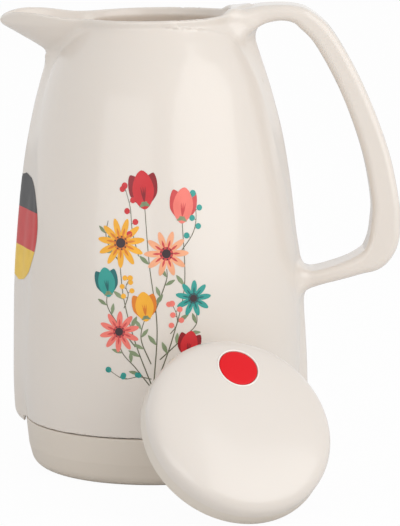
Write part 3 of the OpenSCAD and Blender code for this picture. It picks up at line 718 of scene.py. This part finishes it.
def on_crown(out, turn, lift):
    """A point near the pour mark: out from its middle, and lifted off the crown."""
    x, y = -DOT_OUT + out * math.cos(turn) * math.cos(DOT_LEAN), out * math.sin(turn)
    r = math.hypot(x, y)
    slope = (crown_z(r + 0.05) - crown_z(r - 0.05)) / 0.1
    normal = Vector((-slope * x / r, -slope * y / r, 1)).normalized()
    return Vector((x, y, crown_z(r))) + normal * lift


def build_lid():
    """The hollow crown and its band, with the pour mark's recess cut in."""
    turns = [math.radians(90 * i / 44) for i in range(1, 44)]
    outer = [(LID_R - 0.3) * math.cos(a) ** (2 / CROWN_POWER) for a in turns]
    outer = [(r, crown_z(r)) for r in outer] + [(0, crown_z(0))]
    shrink = 1 - LID_WALL / LID_R
    inner = [(r * shrink, z - LID_WALL) for r, z in reversed(outer)]
    band = rounded([(LID_R - LID_WALL, 0), (LID_R, 0), (LID_R - 0.45, BAND_TOP - 0.25),
                    (LID_R - 0.75, BAND_TOP - 0.05), (LID_R - 0.2, BAND_TOP + 0.15)],
                   [0.6, 0.7, 0.15, 0.1, 0.3], 5)
    profile = band + outer + inner + [(LID_R - LID_WALL, BAND_TOP)]
    verts, faces = revolve(profile, 220)
    dome = mesh_object("lid_crown", placed(verts, LID_PLACE), faces, LID_IVORY, "lid",
                       ("lid_dome",))
    cutter_shape = rounded([(0, -1.2), (DOT_R, -1.2), (DOT_R, 6), (0, 6)], [0, 0.3, 0, 0])
    cut_verts, cut_faces = revolve(cutter_shape, 96)
    cutter = bpy.data.meshes.new("cutter")
    cutter.from_pydata([tuple(Vector(v) * MM) for v in placed(cut_verts, DOT_PLACE)], [], cut_faces)
    cutter_obj = bpy.data.objects.new("cutter", cutter)
    scene.collection.objects.link(cutter_obj)
    recess = dome.modifiers.new("recess", "BOOLEAN")
    recess.operation, recess.object, recess.solver = "DIFFERENCE", cutter_obj, "EXACT"
    apply_modifiers(dome)
    bpy.data.objects.remove(cutter_obj)
    dome.data.materials.append(LID_BAND)
    # The band's outer faces take the darker, less glossy band material
    away = LID_PLACE.inverted()
    for face in dome.data.polygons:
        middle = away @ (face.center / MM)
        if middle.z < BAND_TOP - 0.1 and math.hypot(middle.x, middle.y) > LID_R - LID_WALL + 0.2:
            face.material_index = 1
    crisp(dome, 32)


def crown_patch(name, rings, material, replaces=()):
    """A turned piece draped on the crown round the pour mark: [out, lift] rings, closed."""
    verts, faces = stacked(rings, 96, lambda out, a, lift: DOT_SIDE @ on_crown(out, a, lift))
    crisp(mesh_object(name, verts, faces, material, "lid", replaces))


def build_pour_mark():
    edge = DOT_R - 0.22
    disc = [(0, -1.0), (edge, -1.0), (edge, -0.25), (edge - 0.1, 0.02), (edge - 0.35, 0.14)]
    disc += [(edge * t, 0.16) for t in (0.9, 0.75, 0.6, 0.4, 0.2, 0)]
    crown_patch("pour_mark_disc", disc, RED, ("pour_mark",))
    # The bead is the lid's own plastic, painted paler as a highlight on its edge
    bead = arc(DOT_R + 0.42, 0.0, 0.42, -180, 180, 30)[:-1]
    crown_patch("pour_mark_bead", bead, LID_BEAD_HIGHLIGHT)


# ---------------------------------------------------------------- eased CAD pieces
def eased(node, name, width, material, body):
    """A copy of a CAD node with its sharp edges broken."""
    mesh = bpy.data.objects[node].data.copy()
    mesh.name = name
    bm = bmesh.new()
    bm.from_mesh(mesh)
    bmesh.ops.remove_doubles(bm, verts=bm.verts, dist=2e-6)
    bmesh.ops.dissolve_limit(bm, angle_limit=math.radians(1.5), verts=bm.verts, edges=bm.edges)
    bm.to_mesh(mesh)
    bm.free()
    mesh.materials.clear()
    mesh.materials.append(material)
    obj = bpy.data.objects.new(name, mesh)
    scene.collection.objects.link(obj)
    bevel = obj.modifiers.new("edges", "BEVEL")
    bevel.width, bevel.segments = width * MM, 2
    bevel.limit_method, bevel.angle_limit = "ANGLE", math.radians(38)
    apply_modifiers(obj)
    crisp(obj, 38)
    finish_piece(obj, body, (node,))


def build_collar():
    """The insert in the mouth: a tube with a ledge, a bead, a flange and three locking lugs."""
    outline = [(18.8, 186.5), (27.0, 186.5), (27.0, 195.4), (28.6, 195.4), (28.6, 200.65),
               (32.4, 200.65), (32.4, 202.2), (27.0, 202.2), (27.0, 203.0), (24.2, 203.0),
               (24.2, 189.0), (18.8, 189.0)]
    radii = [0.6, 0.5, 0, 0.4, 0, 0.3, 0.5, 0.4, 0.4, 0.5, 0.8, 0.6]
    lug = rounded([(22.0, 200.6), (24.4, 200.6), (24.4, 202.85), (22.0, 202.85)],
                  [0.6, 0, 0, 0.6], 5)
    verts, faces = joined(revolve(rounded(outline, radii)),
                          *[sector(lug, a - 28, 56) for a in (0, 120, 240)])
    crisp(mesh_object("mouth_collar", verts, faces, INNER, "jug",
                      ("pouring_collar",)))


def build_inner_pieces():
    build_collar()
    eased("stopper_body", "stopper_plug", 0.3, BASE_IVORY, "stopper")
    eased("spindle_screw", "valve_screw", 0.25, STEEL, "valve")


# ---------------------------------------------------------------- print and sticker
PRINT_LIFT, STICKER_LIFT = 0.07, 0.12


def on_body(theta, z, lift):
    """A point on the body in direction theta, lifted off it."""
    x, y = math.cos(theta) * 50, math.sin(theta) * 50
    radius, _ = body_radius(np.array([x]), np.array([y]), np.array([z]))
    r = float(radius[0]) + lift
    return (r * math.cos(theta), r * math.sin(theta), z)


class Print:
    """Flat shapes wrapped on the body's front. u runs to the right and v up, in millimetres."""

    middle_u, low_v, wrap = -2.6, 49.5, 66.5

    def __init__(self):
        self.layers = {}

    def add(self, colour, lift, points, faces):
        verts, all_faces = self.layers.setdefault(colour, ([], []))
        all_faces += [[i + len(verts) for i in f] for f in faces]
        for u, v in points:
            theta = -math.pi / 2 + (self.middle_u + u) / self.wrap
            verts.append(on_body(theta, self.low_v + v, PRINT_LIFT + lift))

    def leaf(self, colour, at, turn, half_long, half_wide, power=1.5, lift=0.02, columns=24):
        """A petal or leaf: pointed where power is near 1, an ellipse at 2."""
        rings = max(2, int(half_long / 1.8))
        points, faces = [at], []
        c, s = math.cos(math.radians(turn)), math.sin(math.radians(turn))
        for ring in range(1, rings + 1):
            for i in range(columns):
                a = 2 * math.pi * i / columns
                x = half_long * math.copysign(abs(math.cos(a)) ** (2 / power), math.cos(a))
                y = half_wide * math.copysign(abs(math.sin(a)) ** (2 / power), math.sin(a))
                x, y = x * ring / rings, y * ring / rings
                points.append((at[0] + x * c - y * s, at[1] + x * s + y * c))
        for i in range(columns):
            k = (i + 1) % columns
            faces.append([0, 1 + i, 1 + k])
            for ring in range(rings - 1):
                a = 1 + ring * columns
                faces.append([a + i, a + columns + i, a + columns + k, a + k])
        self.add(colour, lift, points, faces)

    def out(self, colour, at, turn, gap, half_long, half_wide, power=1.5, lift=0.02):
        """A leaf that starts a gap away from a point and grows outwards."""
        reach = math.radians(turn)
        away = gap + half_long
        middle = (at[0] + away * math.cos(reach), at[1] + away * math.sin(reach))
        self.leaf(colour, middle, turn, half_long, half_wide, power, lift)

    def stem(self, colour, points, width=0.45, lift=0.0):
        line = catmull(points, 10)
        way = np.gradient(line, axis=0)
        side = np.stack([-way[:, 1], way[:, 0]], 1) / np.linalg.norm(way, axis=1, keepdims=True)
        taper = np.linspace(1.2, 0.7, len(line))[:, None] * width / 2
        both = np.concatenate([line + side * taper, line - side * taper])
        n = len(line)
        faces = [[i, n + i, n + i + 1, i + 1] for i in range(n - 1)]
        self.add(colour, lift, [tuple(p) for p in both], faces)

    def finish(self, inks):
        for colour, (verts, faces) in self.layers.items():
            mesh_object("print_" + colour, verts, faces, inks[colour], "jug")


# Flowers, twigs and leaves, each grown from its place on the print
def tulip(print_, at, turn, size, main, shade):
    for side in (-1, 1):
        print_.out(shade, at, turn + side * 24, -size * 0.15, size * 0.62, size * 0.33, 1.5, 0.03)
    print_.out(main, at, turn, -size * 0.2, size * 0.66, size * 0.4, 1.7, 0.05)
    for lean in (-9, 0, 9):
        print_.out(shade, at, turn + lean, size * 0.05, size * 0.26, size * 0.028, 1.3, 0.07)
    for side in (-1, 1):
        print_.out("leaf", at, turn + side * 62, -size * 0.22, size * 0.17, size * 0.07, 1.4, 0.06)


def daisy(print_, at, radius, petals, main, shade, start=0):
    for i in range(petals):
        turn = start + 360 * i / petals
        half_wide = radius * 1.1 / petals * 1.3
        print_.out(main, at, turn, radius * 0.16, radius * 0.42, half_wide, 1.9, 0.03)
        print_.out(shade, at, turn, radius * 0.22, radius * 0.2, radius * 0.05, 1.3, 0.05)
    print_.leaf(shade, at, 0, radius * 0.3, radius * 0.3, 2, 0.06)
    print_.leaf("seed", at, 0, radius * 0.2, radius * 0.2, 2, 0.08)
    for i in range(9):
        a = math.radians(40 * i)
        spot = (at[0] + radius * 0.25 * math.cos(a), at[1] + radius * 0.25 * math.sin(a))
        print_.leaf("seed", spot, 0, radius * 0.035, radius * 0.035, 2, 0.085, 8)


def berries(print_, points, colour, size=1.25):
    print_.stem("stem", points, 0.35)
    line = catmull(points, 4)
    for i, p in enumerate(line[3::2]):
        side = 1 if i % 2 else -1
        spot = (p[0] + side * 1.9, p[1] + 1.0)
        print_.stem("stem", [tuple(p), spot], 0.25)
        print_.leaf(colour, spot, 0, size, size, 2, 0.04, 14)
    print_.leaf(colour, tuple(line[-1]), 0, size * 1.1, size * 1.1, 2, 0.04, 14)


def leafy(print_, points, colour="leaf", size=3.0, every=4):
    print_.stem("stem", points)
    line = catmull(points, 6)
    way = np.gradient(line, axis=0)
    for i in range(every, len(line) - 3, every):
        turn = math.degrees(math.atan2(way[i][1], way[i][0]))
        side = 1 if (i // every) % 2 else -1
        print_.out(colour, tuple(line[i]), turn + side * 42, 0.3, size, size * 0.34, 1.35, 0.02)


def build_print():
    inks = {
        "stem": ink("ink_stem", (0.36, 0.36, 0.27)),
        "leaf": ink("ink_leaf", (0.50, 0.56, 0.42), 0.04),
        "coral": ink("ink_coral", (0.93, 0.47, 0.42)),
        "coral_deep": ink("ink_coral_deep", (0.80, 0.27, 0.27)),
        "yellow": ink("ink_yellow", (0.95, 0.68, 0.16)),
        "yellow_deep": ink("ink_amber", (0.86, 0.48, 0.10)),
        "peach": ink("ink_peach", (0.94, 0.66, 0.50)),
        "red": ink("ink_red", (0.80, 0.15, 0.18)),
        "red_deep": ink("ink_red_deep", (0.55, 0.07, 0.12)),
        "teal": ink("ink_teal", (0.16, 0.60, 0.56)),
        "teal_deep": ink("ink_teal_deep", (0.06, 0.40, 0.40)),
        "seed": ink("ink_seed", (0.20, 0.12, 0.14)),
    }
    p = Print()
    leafy(p, [(0, 0), (2, 28), (-1, 56), (-3, 84)])
    leafy(p, [(-1, 0), (-8, 20), (-13, 40), (-15, 58)])
    leafy(p, [(1, 0), (9, 22), (15, 46), (15, 76)])
    leafy(p, [(-2, 0), (-8, 8), (-14, 15), (-16, 22)], size=2.6)
    leafy(p, [(2, 0), (9, 5), (14, 10), (15, 15)], size=2.6)
    leafy(p, [(-1, 10), (-5, 20), (-5, 26), (-3, 32)], size=2.6)
    leafy(p, [(1, 34), (5, 44), (7, 50), (7, 54)], size=2.6)
    leafy(p, [(-8, 18), (-17, 30), (-21, 37), (-21, 43)], size=2.6)
    leafy(p, [(3, 12), (14, 22), (20, 28), (20, 35)], size=2.6)
    leafy(p, [(-14, 56), (-20, 64), (-22, 70), (-21, 76)], size=2.4)
    berries(p, [(-6, 60), (-9, 72), (-10, 82), (-13, 92)], "red", 1.4)
    berries(p, [(14, 62), (20, 70), (22, 78), (21, 88)], "teal", 1.4)
    berries(p, [(-1, 3), (-7, 4), (-14, 3), (-21, 7)], "teal", 1.3)
    berries(p, [(8, 24), (11, 28), (11, 33), (9, 38)], "coral", 1.3)
    berries(p, [(2, 2), (8, 1), (15, 0), (21, 3)], "yellow", 1.3)
    berries(p, [(-13, 36), (-11, 42), (-12, 46), (-10, 50)], "yellow", 1.2)
    tulip(p, (-3, 84), 96, 13.5, "red", "red_deep")
    tulip(p, (15, 77), 82, 12.5, "coral", "coral_deep")
    tulip(p, (-20.5, 43), 100, 10.5, "teal", "teal_deep")
    tulip(p, (-3, 32), 96, 10.5, "yellow", "yellow_deep")
    tulip(p, (15.5, 14), 78, 10.0, "red", "red_deep")
    daisy(p, (-14.5, 66), 11.5, 11, "yellow", "yellow_deep", 8)
    daisy(p, (7, 61), 10.5, 10, "peach", "coral_deep", 0)
    daisy(p, (-15.5, 25), 9.6, 10, "coral", "coral_deep", 14)
    daisy(p, (19, 40), 8.4, 9, "teal", "teal_deep", 5)
    p.finish(inks)


def build_sticker():
    """A round sticker of three plain bands on the left ridge."""
    radius, middle_z, toward, wrap = 25.5, 116.0, math.radians(188), 66.0
    bands = [(-radius, -9.0, ink("band_yellow", (0.93, 0.76, 0.18))),
             (-9.0, 9.0, ink("band_red", (0.78, 0.13, 0.13))),
             (9.0, radius, ink("band_charcoal", (0.13, 0.13, 0.14)))]
    for name, (low, high, material) in zip(("low", "middle", "high"), bands):
        columns, rows = 25, 12
        verts, faces = [], []
        for t in np.linspace(low, high, rows):
            half = math.sqrt(max(0.0, radius * radius - t * t)) + 0.02
            for s in np.linspace(-half, half, columns):
                verts.append(on_body(toward + s / wrap, middle_z + t, STICKER_LIFT))
        for i in range(rows - 1):
            for j in range(columns - 1):
                a = i * columns + j
                faces.append([a, a + 1, a + columns + 1, a + columns])
        mesh_object("sticker_" + name, verts, faces, material, "jug")


build_base()
build_lid()
build_pour_mark()
build_inner_pieces()
build_print()
build_sticker()


# ---------------------------------------------------------------- stage
def area_light(name, middle, up, facing, size, radiance):
    """A soft panel. up is the direction of its height, facing roughly where it shines."""
    y = Vector(up).normalized()
    z = -(Vector(facing) - y * y.dot(Vector(facing))).normalized()
    data = bpy.data.lights.new(name, "AREA")
    data.shape = "RECTANGLE"
    data.size, data.size_y = size
    data.energy = radiance * math.pi * size[0] * size[1]
    obj = bpy.data.objects.new(name, data)
    axes = Matrix((y.cross(z), y, z)).transposed()
    obj.matrix_world = Matrix.Translation(middle) @ axes.to_4x4()
    scene.collection.objects.link(obj)


FLOOR_HALF = 6.0
FLOOR_GLOW = 0.96
WORLD_LIGHT, WORLD_SEEN = 0.7, 1.0
WHITE = (1, 1, 1, 1)


def add_floor():
    """Pale paper that the camera sees nearly as white."""
    mesh = bpy.data.meshes.new("floor")
    h = FLOOR_HALF
    mesh.from_pydata([(-h, -h, 0), (h, -h, 0), (h, h, 0), (-h, h, 0)], [], [(0, 1, 2, 3)])
    floor = bpy.data.objects.new("floor", mesh)
    scene.collection.objects.link(floor)
    n = Nodes("floor_paper")
    n.bsdf.inputs["Base Color"].default_value = (0.86, 0.86, 0.86, 1)
    n.bsdf.inputs["Roughness"].default_value = 0.9
    n.bsdf.inputs["Specular IOR Level"].default_value = 0.0
    path = n.add("ShaderNodeLightPath")
    glow = n.add("ShaderNodeEmission")
    glow.inputs["Color"].default_value = WHITE
    glow.inputs["Strength"].default_value = 1.0
    share = n.add("ShaderNodeMath", operation="MULTIPLY")
    share.inputs[1].default_value = FLOOR_GLOW
    n.link(path.outputs["Is Camera Ray"], share.inputs[0])
    mix = n.add("ShaderNodeMixShader")
    n.link(share.outputs[0], mix.inputs["Fac"])
    n.link(n.bsdf.outputs[0], mix.inputs[1])
    n.link(glow.outputs[0], mix.inputs[2])
    n.link(mix.outputs[0], n.tree.nodes["Material Output"].inputs["Surface"])
    mesh.materials.append(n.mat)


def add_world():
    """Even white light. Seen directly, in gloss or through glass, it is full white."""
    world = bpy.data.worlds.new("studio")
    world.use_nodes = True
    scene.world = world
    tree = world.node_tree
    light = tree.nodes["Background"]
    light.inputs["Color"].default_value = WHITE
    light.inputs["Strength"].default_value = WORLD_LIGHT
    seen = tree.nodes.new("ShaderNodeBackground")
    seen.inputs["Color"].default_value = WHITE
    seen.inputs["Strength"].default_value = WORLD_SEEN
    path = tree.nodes.new("ShaderNodeLightPath")
    mix = tree.nodes.new("ShaderNodeMixShader")
    shown = path.outputs["Is Camera Ray"]
    for ray in ("Is Glossy Ray", "Is Transmission Ray"):
        either = tree.nodes.new("ShaderNodeMath")
        either.operation = "MAXIMUM"
        tree.links.new(shown, either.inputs[0])
        tree.links.new(path.outputs[ray], either.inputs[1])
        shown = either.outputs[0]
    tree.links.new(shown, mix.inputs["Fac"])
    tree.links.new(light.outputs[0], mix.inputs[1])
    tree.links.new(seen.outputs[0], mix.inputs[2])
    tree.links.new(mix.outputs[0], tree.nodes["World Output"].inputs["Surface"])


add_floor()
add_world()
area_light("softbox_right", (1.5, -1.15, 0.8), (0.35, 0.62, 0.7), (-1.5, 1.2, -0.75),
           (1.9, 2.3), 1.42)
area_light("front", (-0.9, -1.7, 0.4), (0, 0, 1), (0.9, 1.7, -0.2), (1.7, 1.3), 0.95)
scene.view_settings.view_transform = "Standard"
